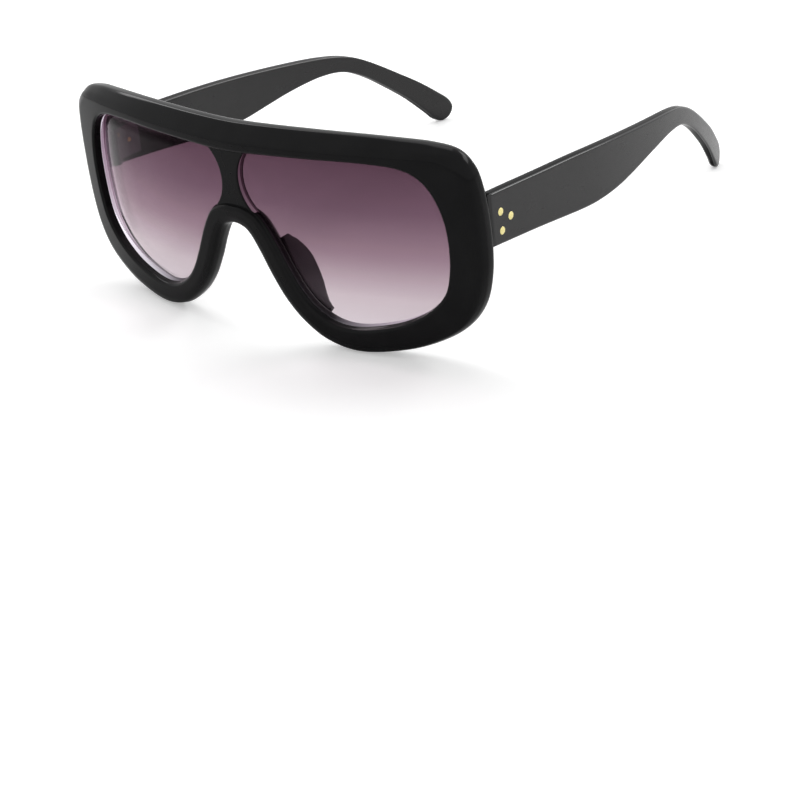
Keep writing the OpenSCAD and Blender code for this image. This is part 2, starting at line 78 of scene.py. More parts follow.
BUTT_R = BACK_R - BUTT_GAP
BUTT_Y = WRAP_R - math.sqrt(BACK_R ** 2 - TEMPLE_X ** 2)
BEND_Y = BUTT_Y + TEMPLE_STRAIGHT
OVERALL_D = BUTT_Y + TEMPLE_LEN
AXIS_R = BACK_R - BARREL_GAP - BARREL_R
AXIS_X = TEMPLE_IN_X - TEMPLE_BARREL_GAP - BARREL_R
AXIS_Y = WRAP_R - math.sqrt(AXIS_R ** 2 - AXIS_X ** 2)
HINGE_Z = TEMPLE_TOP_Z - HINGE_DROP
LEAF_Y = AXIS_Y + BARREL_R + TEMPLE_BARREL_GAP
LEAF_X = TEMPLE_IN_X + LEAF_SINK - LEAF_T
RIVET_Y = LEAF_Y + RIVET_HEAD_R + TEMPLE_BARREL_GAP

# The temple's plan: two inward curves, the second with an inner face that thins towards the tip
CURVE_ANGLE = math.asin((HOOK_START - TEMPLE_STRAIGHT) / TEMPLE_CURVE_R)
CURVE_WAY = np.array([math.cos(CURVE_ANGLE), math.sin(CURVE_ANGLE)])
CURVE_CENTRE = np.array([TEMPLE_X - TEMPLE_CURVE_R, BEND_Y])
HOOK_CENTRE = CURVE_CENTRE + CURVE_WAY * (TEMPLE_CURVE_R - HOOK_CURVE_R)
HOOK_THINNING = 2 * (TEMPLE_T - TEMPLE_TIP_T) / (TEMPLE_LEN - HOOK_START) ** 2
HOOK_INNER_R = 1 / (1 / (HOOK_CURVE_R - TEMPLE_T) - HOOK_THINNING)
HOOK_INNER_CENTRE = CURVE_CENTRE + CURVE_WAY * (TEMPLE_CURVE_R - TEMPLE_T - HOOK_INNER_R)

# Outline of the front, right half, from the top centre round the end and the rim to the nose
# arch: outer edge, window edge (shares of the half widths and of the height) and weight of the
# brow's section
OUTLINE = [
    [(0.000, 0.993), (0.000, 0.876), 1.00], [(0.194, 0.997), (0.219, 0.885), 1.00],
    [(0.368, 1.000), (0.416, 0.891), 0.97], [(0.560, 1.000), (0.626, 0.895), 0.84],
    [(0.710, 0.994), (0.783, 0.887), 0.74], [(0.824, 0.982), (0.864, 0.867), 0.66],
    [(0.914, 0.955), (0.916, 0.830), 0.38], [(0.966, 0.889), (0.951, 0.780), 0.04],
    [(0.988, 0.792), (0.977, 0.713), 0.00], [(0.999, 0.659), (0.995, 0.629), 0.00],
    [(1.000, 0.520), (1.000, 0.528), 0.00], [(0.990, 0.385), (0.992, 0.422), 0.00],
    [(0.962, 0.261), (0.967, 0.325), 0.00], [(0.904, 0.161), (0.906, 0.246), 0.00],
    [(0.810, 0.089), (0.830, 0.192), 0.00], [(0.680, 0.033), (0.724, 0.147), 0.00],
    [(0.502, 0.000), (0.572, 0.115), 0.00], [(0.368, 0.032), (0.462, 0.125), 0.00],
    [(0.270, 0.108), (0.370, 0.177), 0.00], [(0.199, 0.202), (0.306, 0.250), 0.00],
    [(0.145, 0.311), (0.250, 0.352), 0.00], [(0.101, 0.420), (0.193, 0.474), 0.00],
    [(0.064, 0.493), (0.133, 0.570), 0.00], [(0.033, 0.518), (0.062, 0.609), 0.00],
    [(0.000, 0.525), (0.000, 0.614), 0.00],
]
# Sections of the outer edge as shares of its reach inwards and of its thickness
RIM_EDGE = [(1, 0), (0.34, 0.09), (0.05, 0.32), (0, 0.5), (0.07, 0.77), (0.4, 0.95), (0.82, 1)]
BROW_EDGE = [(1, 0), (0.66, 0.18), (0.33, 0.36), (0.07, 0.51), (0, 0.6), (0.02, 0.88), (0.22, 1)]
# Side outline of a temple, from the butt over the top to the tip and back along the lower edge:
# shares of its length and of its height at the hinge
TEMPLE_SIDE = [
    (-0.040, 1.004), (0.000, 1.000), (0.159, 0.957), (0.292, 0.922), (0.432, 0.875),
    (0.601, 0.809), (0.675, 0.772), (0.727, 0.731), (0.773, 0.665), (0.821, 0.571),
    (0.863, 0.480), (0.920, 0.353), (0.965, 0.236), (0.990, 0.163), (1.000, 0.095),
    (0.991, 0.030), (0.970, 0.000), (0.949, 0.033), (0.933, 0.092), (0.888, 0.243),
    (0.838, 0.378), (0.787, 0.502), (0.740, 0.589), (0.699, 0.632), (0.648, 0.645),
    (0.598, 0.637), (0.544, 0.620), (0.500, 0.601), (0.458, 0.583), (0.420, 0.569),
    (0.361, 0.561), (0.290, 0.572), (0.145, 0.630), (0.000, 0.681), (-0.040, 0.693),
]
TEMPLE_FIRST, TEMPLE_TIP, TEMPLE_LAST = 1, 16, 33
# The nose pad: its rows of the outline, and its reach backwards along them
PAD_ROWS = (17.67, 21.0)
PAD_SHARES = [0.06, 0.22, 0.42, 0.62, 0.79, 0.91, 0.98, 1, 0.9, 0.64, 0.28]
PAD_ROOT_SHARE, PAD_END_SHARE, PAD_END_CLIP = 0.45, 0.3, 0.02

# The dressing's own sizes in millimetres: how soft each edge is, and how far from it the rows lie
# that keep the faces beside it flat
SKIN = 0.02  # keeps the front inside the part's box
FACE_SUPPORT, EDGE_SOFT, GROOVE_SOFT = 0.35, 0.08, 0.02
CREASE_CUT, BEVEL_SUPPORT, WALL_TURN_SHARE = 0.4, 0.06, 0.55
BAR_SOFT, BAR_SUPPORT, BAR_BACK_SOFT = 0.3, 0.6, 0.2
LENS_END_GAP = 0.002
TEMPLE_SOFT, TIP_SOFT, TIP_SOFT_REACH = 0.6, 1.2, 14.0
BUTT_LEAN = 8.0  # length over which a temple's end takes up the slant of its butt
RIVET_DOME, RIVET_DOME_SHARE, RIVET_RIM_DROP = 0.16, 0.94, 0.06
RIVET_HEAD_DEPTH, RIVET_NECK_DEPTH = 0.5, 0.6
RIVET_TAIL, RIVET_TAIL_DROP = 0.14, 0.02
PAD_SINK = 0.3

# Counts of points, rows and strips, and angles of roundings in degrees
RING_STEPS, PROFILE_STEPS, CREASE_STEPS, LIP_STEPS = 8, 4, 4, 7
BACK_MIDS, FACE_MIDS = (0.0, 0.33, 0.67), (0.25, 0.5, 0.75)
BAR_SLICES, BAR_SOFT_STEPS = 72, 5
LENS_COLUMNS, LENS_ROWS = 120, 10
TEMPLE_EDGE_STEPS, TEMPLE_COLUMNS, TEMPLE_ACROSS, TIP_CROWDING = 6, 110, 8, 1.35
TEMPLE_SOFT_ANGLES = (0, 22, 45, 67, 90)
DOME_ANGLES, TAIL_ANGLES, RIVET_TURNS = (20, 40, 60, 80), (30, 60), 40
PAD_STATIONS, PAD_TURNS, PAD_LINE_STEPS, PAD_SHARE_STEPS = 44, 40, 30, 8
# The lens's groove: its first strip and its number of strips, in the rim and in the bar
RIM_GROOVE, RIM_GROOVE_STRIPS = 4, 5
BAR_GROOVE, BAR_GROOVE_STRIPS = 7, 3
# Strips from the middle of a temple's edge up to which it has painted shade, and up to which
# polished
PAINTED_SHADE_STRIPS, POLISHED_STRIPS = 1, 5

# Finishes: noise as scale and detail, the span of it that is used, and depths in millimetres
CLOUD_NOISE, MARK_NOISE, RIPPLE_NOISE, BRUSH_NOISE = (140, 4), (900, 5), (420, 2), (1500, 4)
NOISE_SPAN = (0.3, 0.7)
MARK_STRETCH = (1, 0.25, 1)
RIPPLE_DEPTH, BRUSH_DEPTH, BRUSH_STRENGTH = 0.05, 0.03, 0.15
PLASTIC_IOR = 1.49

# The lenses: height of the tint's foot and top, its colours from foot to top, and the strength
# of the reflection from a straight look to a grazing one
LENS_RAMP = (6.0, 55.0)
LENS_STOPS = [(0.0, (0.78, 0.74, 0.765)), (0.2, (0.715, 0.657, 0.685)),
              (0.45, (0.5, 0.407, 0.455)), (0.7, (0.36, 0.271, 0.322)),
              (1.0, (0.272, 0.192, 0.235))]
SHINE_STOPS = [(0.0, 0.0), (0.4, 0.003), (0.5, 0.015), (0.578, 0.035), (0.622, 0.08),
               (0.694, 0.32), (1.0, 0.6)]
# The same for a lens's narrow sides
SIDE_STOPS = [(0.0, (0.98, 0.98, 0.985)), (1.0, (0.96, 0.95, 0.965))]
SIDE_SHINE_STOPS = [(0.0, 0.0), (1.0, 0.02)]
# Colours of the glow painted into the rim's groove as light, from the middle of the front to its
# end
GROOVE_GLOW_STOPS = [(0.0, (0.004, 0.004, 0.0045)), (0.42, (0.006, 0.006, 0.007)),
              (0.6, (0.35, 0.34, 0.37)), (0.85, (0.7, 0.67, 0.73)), (0.97, (0.95, 0.92, 1.0))]
LENS_POLISH, FACING_BLEND = 0.03, 0.5
GROOVE_TONE, GROOVE_ROUGHNESS = (0.01, 0.01, 0.011, 1), 0.5

# The table, the lamps (place and size in millimetres) and the sky
TABLE_HALF, TABLE_TONE, TABLE_ROUGHNESS, TABLE_LEVEL = 4000.0, (0.9, 0.9, 0.9, 1), 0.6, 0.2
FLOOR_LIFT = 0.36
LAMPS = {
    "left_box": ((-760, 180, 680), (500, 350)),
    "back_box": ((380, 700, 620), (700, 250)),
    "top_box": ((-250, 350, 1000), (700, 700)),
}
LAMP_WATTS, LAMP_TARGET = 2.9, (0, 0, 25)
SKY_LIGHT, SKY_SEEN = (0.5, 0.5, 0.5, 1), (1, 1, 1, 1)

# The camera of the photograph's quarter view: degrees, millimetres and pixels
CAM_AZIMUTH, CAM_ELEVATION, CAM_ROLL = 41.646, 22.005, -6.919
CAM_DISTANCE, CAM_FOCAL_PX = 547.01, 2042.29
CAM_AIM_RIGHT, CAM_AIM_UP, CAM_AIM_Z = 44.5, 7.255, 30.0
PICTURE, CAM_AXIS_Y, SENSOR = 800.0, 205.0, 36.0
CAM_CLIP = (0.01, 20)


def spline(a, b, c, d, t):
    """A point between b and c of a smooth curve that passes through both."""
    return (b + (c - a) * t / 2 + (2 * a - 5 * b + 4 * c - d) * t * t / 2
            + (3 * b - a - 3 * c + d) * t ** 3 / 2)


def closed_curve(points, steps):
    """A smooth closed curve through the points."""
    p = np.asarray(points, float)
    a, b, c, d = np.roll(p, 1, 0), p, np.roll(p, -1, 0), np.roll(p, -2, 0)
    parts = [spline(a, b, c, d, s / steps) for s in range(steps)]
    return np.stack(parts, 1).reshape(-1, p.shape[1])


def open_curve(points, steps):
    """A smooth curve from the first point to the last."""
    p = np.asarray(points, float)
    q = np.concatenate([p[:1], p, p[-1:]])
    parts = [spline(q[:-3], q[1:-2], q[2:-1], q[3:], s / steps) for s in range(steps)]
    return np.concatenate([np.stack(parts, 1).reshape(-1, p.shape[1]), p[-1:]])


def arc(centre, radius, start, end, steps):
    """Points of an arc, with its angles in degrees."""
    return [(centre[0] + radius * math.cos(a), centre[1] + radius * math.sin(a))
            for a in np.radians(np.linspace(start, end, steps + 1))]


def resample(line, count, power):
    """Evenly spaced points along a line; a power above 1 crowds them towards its end."""
    steps = np.linalg.norm(np.diff(line, axis=0), axis=1)
    run = np.concatenate([[0], np.cumsum(steps)])
    place = (1 - (1 - np.linspace(0, 1, count)) ** power) * run[-1]
    return np.stack([np.interp(place, run, line[:, k]) for k in range(line.shape[1])], 1)


def loft(rings, wrap_rings=False, caps=False, start=0):
    """Quads between closed rings with equal counts of points, and faces over both ends."""
    n, m = len(rings), len(rings[0])
    faces = []
    for i in range(n if wrap_rings else n - 1):
        row, after = start + i * m, start + (i + 1) % n * m
        for j in range(m):
            k = (j + 1) % m
            faces.append([row + j, row + k, after + k, after + j])
    if caps:
        faces.append([start + j for j in range(m)][::-1])
        faces.append([start + (n - 1) * m + j for j in range(m)])
    return faces


def make_piece(name, points, faces, material, body, smooth=True):
    """A mesh from points in millimetres, y counted from the front face, riding on a body."""
    p = np.asarray(points, float).reshape(-1, 3) - (0, OVERALL_D / 2, 0)
    mesh = bpy.data.meshes.new(name)
    mesh.from_pydata((p * MM).tolist(), [], [list(f) for f in faces])
    mesh.validate()
    mesh.polygons.foreach_set("use_smooth", [smooth] * len(mesh.polygons))
    mesh.materials.append(material)
    piece = bpy.data.objects.new(name, mesh)
    bpy.context.scene.collection.objects.link(piece)
    if body:
        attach(piece, body)
    return piece


def add_finishes(piece, materials, numbers):
    """Further materials of a piece, and the number of each face's own one."""
    for material in materials:
        piece.data.materials.append(material)
    piece.data.polygons.foreach_set("material_index", numbers)


def facing_out(piece):
    """Turns all faces of a closed mesh outwards."""
    bm = bmesh.new()
    bm.from_mesh(piece.data)
    bmesh.ops.recalc_face_normals(bm, faces=bm.faces)
    bm.to_mesh(piece.data)
    bm.free()
    return piece


def wrapped(place, depth):
    """A place (x, z) on the wrapped front, at a depth behind its face."""
    x, z = place[..., 0], place[..., 1]
    return np.stack([x, WRAP_R - np.sqrt((WRAP_R - depth) ** 2 - x ** 2), z], -1)


def on_lens(place, r):
    """A place (x, z) on the curve of the lenses, at a radius round its middle."""
    x, z = place[..., 0], place[..., 1]
    return np.stack([x, LENS_CENTRE_Y - np.sqrt(r ** 2 - x ** 2), z], -1)


def depth_of(point):
    """Depth of a point behind the front face."""
    return WRAP_R - math.hypot(point[0], WRAP_R - point[1])


def outline_rings():
    """Outer edge, window edge and weight of the brow, all round the front."""
    scale = [(HALF_W, FRONT_H), (WINDOW_HALF_W, FRONT_H)]
    half = [[*np.multiply(outer, scale[0]), *np.multiply(window, scale[1]), brow]
            for outer, window, brow in OUTLINE]
    other = [[-r[0], r[1], -r[2], r[3], r[4]] for r in half[-2:0:-1]]
    rings = closed_curve(half + other, RING_STEPS)
    return rings[:, 0:2], rings[:, 2:4], np.clip(rings[:, 4], 0, 1)


def outward(outer, window):
    """The way from the window's edge to the outer edge."""
    across = outer - window
    return across / np.linalg.norm(across, axis=-1, keepdims=True)


def outer_profile(brow):
    """Section of the outer edge: how far in from it, and how deep."""
    rim = np.array(RIM_EDGE) * (EDGE_ROUND, RIM_T)
    slope = np.array(BROW_EDGE) * (BROW_SLOPE_H, BROW_T)
    line = open_curve(rim + (slope - rim) * brow, PROFILE_STEPS)
    face, corner, run = line[0] + (CREASE_CUT, 0), line[0], line[1] - line[0]
    leave = corner + run / np.linalg.norm(run) * CREASE_CUT
    crease = [face * (1 - t) ** 2 + corner * 2 * t * (1 - t) + leave * t * t
              for t in np.linspace(0, 1, CREASE_STEPS + 1)]
    return np.array([face + (FACE_SUPPORT, 0), *crease, *line[2:]])


def window_section(window, out, brow):
    """Section of the window's edge with the lens's groove, from the rim's back to its face."""
    def place(m):
        """A place at a distance outwards from the window's edge."""
        return window + out * m

    back = RIM_T + (BROW_T - RIM_T) * brow
    wall, floor = place(-WALL_DRAFT), place(GROOVE_FLOOR)
    behind = depth_of(on_lens(wall, GROOVE_BACK_R))
    before = depth_of(on_lens(wall, GROOVE_FRONT_R))
    lip = behind + (RIM_T - behind) * BACK_LIP_SHARE
    start, end = np.array([BACK_BEVEL, back]), np.array([-WALL_DRAFT, lip])
    line = [(BACK_BEVEL + FACE_SUPPORT, back), (BACK_BEVEL + EDGE_SOFT, back)]
    line += [start + (end - start) * share for share in (BEVEL_SUPPORT, 1 - BEVEL_SUPPORT)]
    line += [(-WALL_DRAFT, lip - EDGE_SOFT), (-WALL_DRAFT, behind + GROOVE_SOFT)]
    points = [wrapped(place(m), depth) for m, depth in line]
    points += [on_lens(wall, GROOVE_BACK_R), on_lens(floor, GROOVE_BACK_R)]
    points += [on_lens(floor, GROOVE_FRONT_R), on_lens(wall, GROOVE_FRONT_R)]
    line = [(-WALL_DRAFT, before - GROOVE_SOFT)]
    line += [(-WALL_DRAFT * WALL_TURN_SHARE, (before + LIP_ROUND) / 2)]
    line += arc((LIP_ROUND, LIP_ROUND), LIP_ROUND, 180, 270, LIP_STEPS)
    line += [(LIP_ROUND + FACE_SUPPORT, 0)]
    return np.array(points + [wrapped(place(m), depth) for m, depth in line])


def between(start, end, shares, depth):
    """Places on the wrapped front between two others, at one depth."""
    return wrapped(start + (end - start) * np.array(shares)[:, None], depth)


def front_sections():
    """Sections of the front all round, and for each face whether it belongs to the groove."""
    outer, window, brow = outline_rings()
    out = outward(outer, window)
    rows = []
    for o, w, u, b in zip(outer, window, out, brow):
        edge = outer_profile(b)
        edge[:, 0] += SKIN
        rim = wrapped(o - u * edge[:, :1], edge[:, 1])
        back = between(o - u * (edge[-1, 0] + FACE_SUPPORT), w + u * (BACK_BEVEL + FACE_SUPPORT),
                       BACK_MIDS, edge[-1, 1])
        face = between(w + u * (LIP_ROUND + FACE_SUPPORT), o - u * edge[0, 0], FACE_MIDS, 0.0)
        rows.append(np.concatenate([rim, back, window_section(w, u, b), face]))
    first = len(rim) + len(back) + RIM_GROOVE
    strips = range(first, first + RIM_GROOVE_STRIPS)
    return rows, [k in strips for _ in rows for k in range(len(rows[0]))]


def bar_sections():
    """The bar between the lenses in level slices from its foot up, and its groove's faces."""
    groove_front, groove_back = LENS_RECESS - LENS_GAP, LENS_BACK + LENS_GAP
    rows = []
    for z in np.linspace(*(FRONT_H * share for share in BAR_END_SHARES), BAR_SLICES):
        reach = math.sqrt(max(BAR_SIDE_R ** 2 - (z - BAR_Z) ** 2, 0))
        half = min(BAR_W / 2 + BAR_SIDE_R - reach, (BAR_W + BAR_SIDE_R) / 2)
        side = [(half - BAR_SUPPORT, BAR_RECESS)]
        side += arc((half - BAR_SOFT, BAR_RECESS + BAR_SOFT), BAR_SOFT, -90, 0, BAR_SOFT_STEPS)
        side += [(half, groove_front), (half - GROOVE_FLOOR, groove_front)]
        side += [(half - GROOVE_FLOOR, groove_back), (half, groove_back)]
        side += [(half, BAR_BACK - BAR_BACK_SOFT), (half - BAR_BACK_SOFT, BAR_BACK)]
        side += [(half - BAR_SUPPORT, BAR_BACK)]
        loop = side + [(-x, d) for x, d in side[::-1]]
        rows.append([wrapped(np.array([x, z]), d) for x, d in loop])
    grooves = [BAR_GROOVE + k for k in range(BAR_GROOVE_STRIPS)]
    grooves += [len(loop) - 2 - k for k in grooves]
    return rows, [k in grooves for _ in rows[1:] for k in range(len(loop))]


def make_front(material, rim_glow_material, bar_glow_material):
    """The rim with its brow and arch, and the bar; the lens grooves get their own materials, with
    a painted glow.
    """
    rim_rows, rim_grooves = front_sections()
    bar_rows, bar_grooves = bar_sections()
    rim_points = np.concatenate(rim_rows)
    points = np.concatenate([rim_points, np.array(bar_rows).reshape(-1, 3)])
    faces = loft(rim_rows, wrap_rings=True) + loft(bar_rows, caps=True, start=len(rim_points))
    piece = make_piece("polished_front", points, faces, material, "front")
    numbers = [1 if v else 0 for v in rim_grooves] + [2 if v else 0 for v in bar_grooves] + [0, 0]
    add_finishes(piece, [rim_glow_material, bar_glow_material], numbers)
    return facing_out(piece)


def lens_outline():
    """Top and bottom edges of the right lens as lines of z over x."""
    outer, window, _ = outline_rings()
    edge = window + outward(outer, window) * LENS_BITE
    half = edge[: len(edge) // 2 + 1]
    end = int(np.argmax(half[:, 0]))
    return half[: end + 1], half[end:][::-1]


def lens_rows(side, radius):
    """Upright rows of points on one face of a lens, from the bar to the hinge."""
    top, bottom = lens_outline()
    start = BAR_W / 2 - LENS_BITE
    turn = np.linspace(0, math.pi, LENS_COLUMNS)
    x = start + (top[-1, 0] - start) * (1 - np.cos(turn)) / 2
    x[0] += LENS_END_GAP
    x[-1] -= LENS_END_GAP
    inset = BAR_W / 2 + BAR_SIDE_R - x
    reach = np.sqrt(np.maximum((BAR_SIDE_R + LENS_BITE) ** 2 - inset ** 2, 0))
    reach = np.where(x > BAR_ROOT_W / 2, FRONT_H, reach)
    high = np.minimum(np.interp(x, top[:, 0], top[:, 1]), BAR_Z + reach)
    low = np.maximum(np.interp(x, bottom[:, 0], bottom[:, 1]), BAR_Z - reach)
    share = np.linspace(0, 1, LENS_ROWS)
    rows = []
    for column, foot, rise in zip(x, low, high - low):
        places = np.stack([np.full(LENS_ROWS, side * column), foot + rise * share], 1)
        rows.append(on_lens(places, radius))
    return rows


def make_lens(side, material, side_material):
    """A curved lens; its narrow sides in the grooves are clear."""
    front, back = lens_rows(side, LENS_R), lens_rows(side, LENS_R - LENS_T)
    loops = [np.concatenate([f, b[::-1]]) for f, b in zip(front, back)]
    faces = loft(loops, caps=True)
    name = SIDE_NAMES[side] + "_lens"
    piece = make_piece("tinted_" + name, np.concatenate(loops), faces, material, "front")
    narrow = [int(k % LENS_ROWS == LENS_ROWS - 1) for k in range(len(faces) - 2)] + [1, 1]
    add_finishes(piece, [side_material], narrow)
    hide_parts(name)
    return facing_out(piece)


def temple_chains():
    """Top and lower edge of a temple's side, both from the hinge to the tip."""
    line = np.array(TEMPLE_SIDE) * (TEMPLE_LEN, TEMPLE_TOP_Z) + (BUTT_Y, 0)
    curve = open_curve(line, TEMPLE_EDGE_STEPS)
    first, tip, last = (n * TEMPLE_EDGE_STEPS for n in (TEMPLE_FIRST, TEMPLE_TIP, TEMPLE_LAST))
    chains = curve[first: tip + 1], curve[tip: last + 1][::-1]
    return [resample(chain, TEMPLE_COLUMNS, TIP_CROWDING) for chain in chains]


def temple_point(side, y, z, depth):
    """A point of the temple at a depth in from its outer face."""
    x = TEMPLE_X - depth
    if y > CURVE_CENTRE[1] + (TEMPLE_CURVE_R - depth) * CURVE_WAY[1]:
        centre, radius = HOOK_CENTRE, HOOK_CURVE_R - depth
        if depth > TEMPLE_T / 2:
            centre, radius = HOOK_INNER_CENTRE, HOOK_INNER_R + TEMPLE_T - depth
        x = centre[0] + math.sqrt(radius ** 2 - (y - centre[1]) ** 2)
    elif y > BEND_Y:
        x = CURVE_CENTRE[0] + math.sqrt((TEMPLE_CURVE_R - depth) ** 2 - (y - BEND_Y) ** 2)
    butt = WRAP_R - math.sqrt(BUTT_R ** 2 - x * x)
    lean = max(0.0, 1 - (y - BUTT_Y) / BUTT_LEAN)
    return (side * x, y + (butt - BUTT_Y) * lean, z)


def temple_outline():
    """A temple's side outline, the step inwards at each point and the rounding there."""
    top, low = temple_chains()
    outline = np.concatenate([top, low[-2::-1]])
    run = np.roll(outline, -1, 0) - np.roll(outline, 1, 0)
    inward = np.stack([run[:, 1], -run[:, 0]], 1) / np.linalg.norm(run, axis=1)[:, None]
    inward[0], inward[-1] = (1, -1), (1, 1)
    near_tip = np.clip((outline[:, 0] - (OVERALL_D - TIP_SOFT_REACH)) / TIP_SOFT_REACH, 0, 1)
    return outline, inward, TEMPLE_SOFT + (TIP_SOFT - TEMPLE_SOFT) * near_tip


def broad_face(side, place, depth, first, points, faces, flip):
    """Fills a ring of a temple with strips between its top and its lower edge."""
    top, low = place[:TEMPLE_COLUMNS], place[TEMPLE_COLUMNS - 1:][::-1]
    rows = []
    for i in range(TEMPLE_COLUMNS - 1):
        row = [first + i]
        for k in range(1, TEMPLE_ACROSS):
            y, z = top[i] + (low[i] - top[i]) * k / TEMPLE_ACROSS
            row.append(len(points))
            points.append(temple_point(side, y, z, depth))
        rows.append(row + [first + len(place) - 1 - i])
    filling = [[a[k], a[k + 1], c[k + 1], c[k]]
               for a, c in zip(rows[:-1], rows[1:]) for k in range(TEMPLE_ACROSS)]
    tip = first + TEMPLE_COLUMNS - 1
    filling += [[rows[-1][k], rows[-1][k + 1], tip] for k in range(TEMPLE_ACROSS)]
    faces += [face[::-1] if flip else face for face in filling]


def make_temple(side, face_material, shine_material, shade_edge_material):
    """A slab between the two edges, with softly rounded and polished rims all round; the flat
    middle of each rim gets painted shade, a darker copy of the plastic that barely reflects.
    """
    outline, inward, soft = temple_outline()
    zero = np.zeros(len(outline))
    profile = [(soft * (1 - math.sin(a)), soft * (1 - math.cos(a)))
               for a in np.radians(TEMPLE_SOFT_ANGLES)]
    rings = [(soft + FACE_SUPPORT, zero), *profile, (zero, zero + TEMPLE_T / 2)]
    rings += [(inset, TEMPLE_T - depth) for inset, depth in reversed(profile)]
    rings += [(soft + FACE_SUPPORT, zero + TEMPLE_T)]
    places = [outline + inward * inset[:, None] for inset, _ in rings]
    loops = [[temple_point(side, y, z, d) for (y, z), d in zip(place, depth)]
             for place, (_, depth) in zip(places, rings)]
    points, faces = [point for loop in loops for point in loop], loft(loops)
    numbers = []
    for strip in range(len(rings) - 1):
        off_middle = abs(strip - (len(rings) - 2) / 2)
        number = 2 if off_middle < PAINTED_SHADE_STRIPS else 1 if off_middle < POLISHED_STRIPS else 0
        numbers += [number] * len(outline)
    last = len(rings) - 1
    broad_face(side, places[0], 0.0, 0, points, faces, flip=False)
    broad_face(side, places[last], TEMPLE_T, last * len(outline), points, faces, flip=True)
    name = SIDE_NAMES[side] + "_temple"
    piece = make_piece("satin_" + name, points, faces, face_material, SIDE_BODIES[side])
    numbers += [0] * (len(faces) - len(numbers))
    add_finishes(piece, [shine_material, shade_edge_material], numbers)
    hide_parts(name)
    return facing_out(piece)


def rivet_profile():
    """Radius and x of a rivet, from the top of its domed head to its domed end on the leaf."""
    head, stem, end = RIVET_HEAD_R, RIVET_R, LEAF_X - RIVET_TAIL_DROP
    profile = [(0.0, TEMPLE_X + RIVET_DOME)]
    profile += [(head * math.sin(a) * RIVET_DOME_SHARE, TEMPLE_X + RIVET_DOME * math.cos(a))
                for a in np.radians(DOME_ANGLES)]
    profile += [(head, TEMPLE_X - RIVET_RIM_DROP), (head, TEMPLE_X - RIVET_HEAD_DEPTH)]
    profile += [(stem, TEMPLE_X - RIVET_NECK_DEPTH), (stem, end)]
    profile += [(stem * math.cos(a), end - RIVET_TAIL * math.sin(a))
                for a in np.radians(TAIL_ANGLES)]
    return profile + [(0.0, end - RIVET_TAIL)]


def make_rivets(side, material):
    """Three rivets in a triangle that points back."""
    profile = rivet_profile()
    turns = np.linspace(0, 2 * math.pi, RIVET_TURNS, endpoint=False)
    points, faces = [], []
    for y, z in ((RIVET_Y, HINGE_Z + RIVET_SPREAD / 2), (RIVET_Y, HINGE_Z - RIVET_SPREAD / 2),
                 (RIVET_Y + RIVET_PITCH, HINGE_Z)):
        start = len(points)
        rings = [[(side * x, y + r * math.cos(a), z + r * math.sin(a)) for a in turns]
                 for r, x in profile[1:-1]]
        points.append((side * profile[0][1], y, z))
        points += [point for ring in rings for point in ring]
        points.append((side * profile[-1][1], y, z))
        last = len(points) - 1
        for k in range(RIVET_TURNS):
            after = (k + 1) % RIVET_TURNS
            faces.append([start, start + 1 + k, start + 1 + after])
            faces.append([last, last - RIVET_TURNS + after, last - RIVET_TURNS + k])
        faces += loft(rings, start=start + 1)
    name = SIDE_NAMES[side] + "_rivets"
    piece = make_piece("domed_" + name, points, faces, material, SIDE_BODIES[side])
    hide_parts(name)
    return facing_out(piece)


def pad_rings(side):
    """Cross-sections of a lobe that leans back along the window edge of the arch's leg."""
    scale = np.array([HALF_W, FRONT_H, WINDOW_HALF_W, FRONT_H])
    fine = open_curve([np.array([*o, *w]) * scale for o, w, _ in OUTLINE], PAD_LINE_STEPS)
    shares = open_curve([[v] for v in PAD_SHARES], PAD_SHARE_STEPS)[:, 0]
    directions = [np.array([math.cos(a), math.sin(a)])
                  for a in np.linspace(0, 2 * math.pi, PAD_TURNS, endpoint=False)]
    root_depth = RIM_T - PAD_SINK
    rings = []
    for t in (1 - np.cos(np.linspace(0, math.pi, PAD_STATIONS))) / 2:
        row = PAD_ROWS[0] + (PAD_ROWS[1] - PAD_ROWS[0]) * t
        ring = fine[int(round(row * PAD_LINE_STEPS))]
        outer, window = ring[:2], ring[2:]
        out = outward(outer, window)
        share = np.interp(t * (len(shares) - 1), range(len(shares)), shares)
        fullness = math.sqrt(math.sin(math.pi * min(max(t, PAD_END_CLIP), 1 - PAD_END_CLIP)))
        soft = PAD_EDGE_R * (PAD_END_SHARE + (1 - PAD_END_SHARE) * fullness)
        root = float(np.linalg.norm(outer - window)) - EDGE_ROUND * PAD_ROOT_SHARE - soft
        back = max(RIM_T + PAD_REACH * share - soft, root_depth)
        centres = [(root, root_depth), (soft, root_depth), (soft - PAD_FLARE * share, back)]
        loop = []
        for d in directions:
            furthest = max(centres, key=lambda c: c[0] * d[0] + c[1] * d[1])
            m, depth = np.array(furthest) + d * soft
            x, y, z = wrapped(window + out * m, depth)
            loop.append((side * x, y, z))
        rings.append(loop)
    return rings


def make_pad(side, material):
    """A soft nose pad on the back of the arch's leg."""
    rings = pad_rings(side)
    name = SIDE_NAMES[side] + "_nose_pad"
    points = np.array(rings).reshape(-1, 3)
    piece = make_piece("soft_" + name, points, loft(rings, caps=True), material, "front")
    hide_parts(name)
    return facing_out(piece)


def new_material(name):
    """A material with its nodes, its links and its shader."""
    material = bpy.data.materials.new(name)
    material.use_nodes = True
    nodes = material.node_tree.nodes
    shader = next(n for n in nodes if n.type == "BSDF_PRINCIPLED")
    return material, nodes, material.node_tree.links, shader


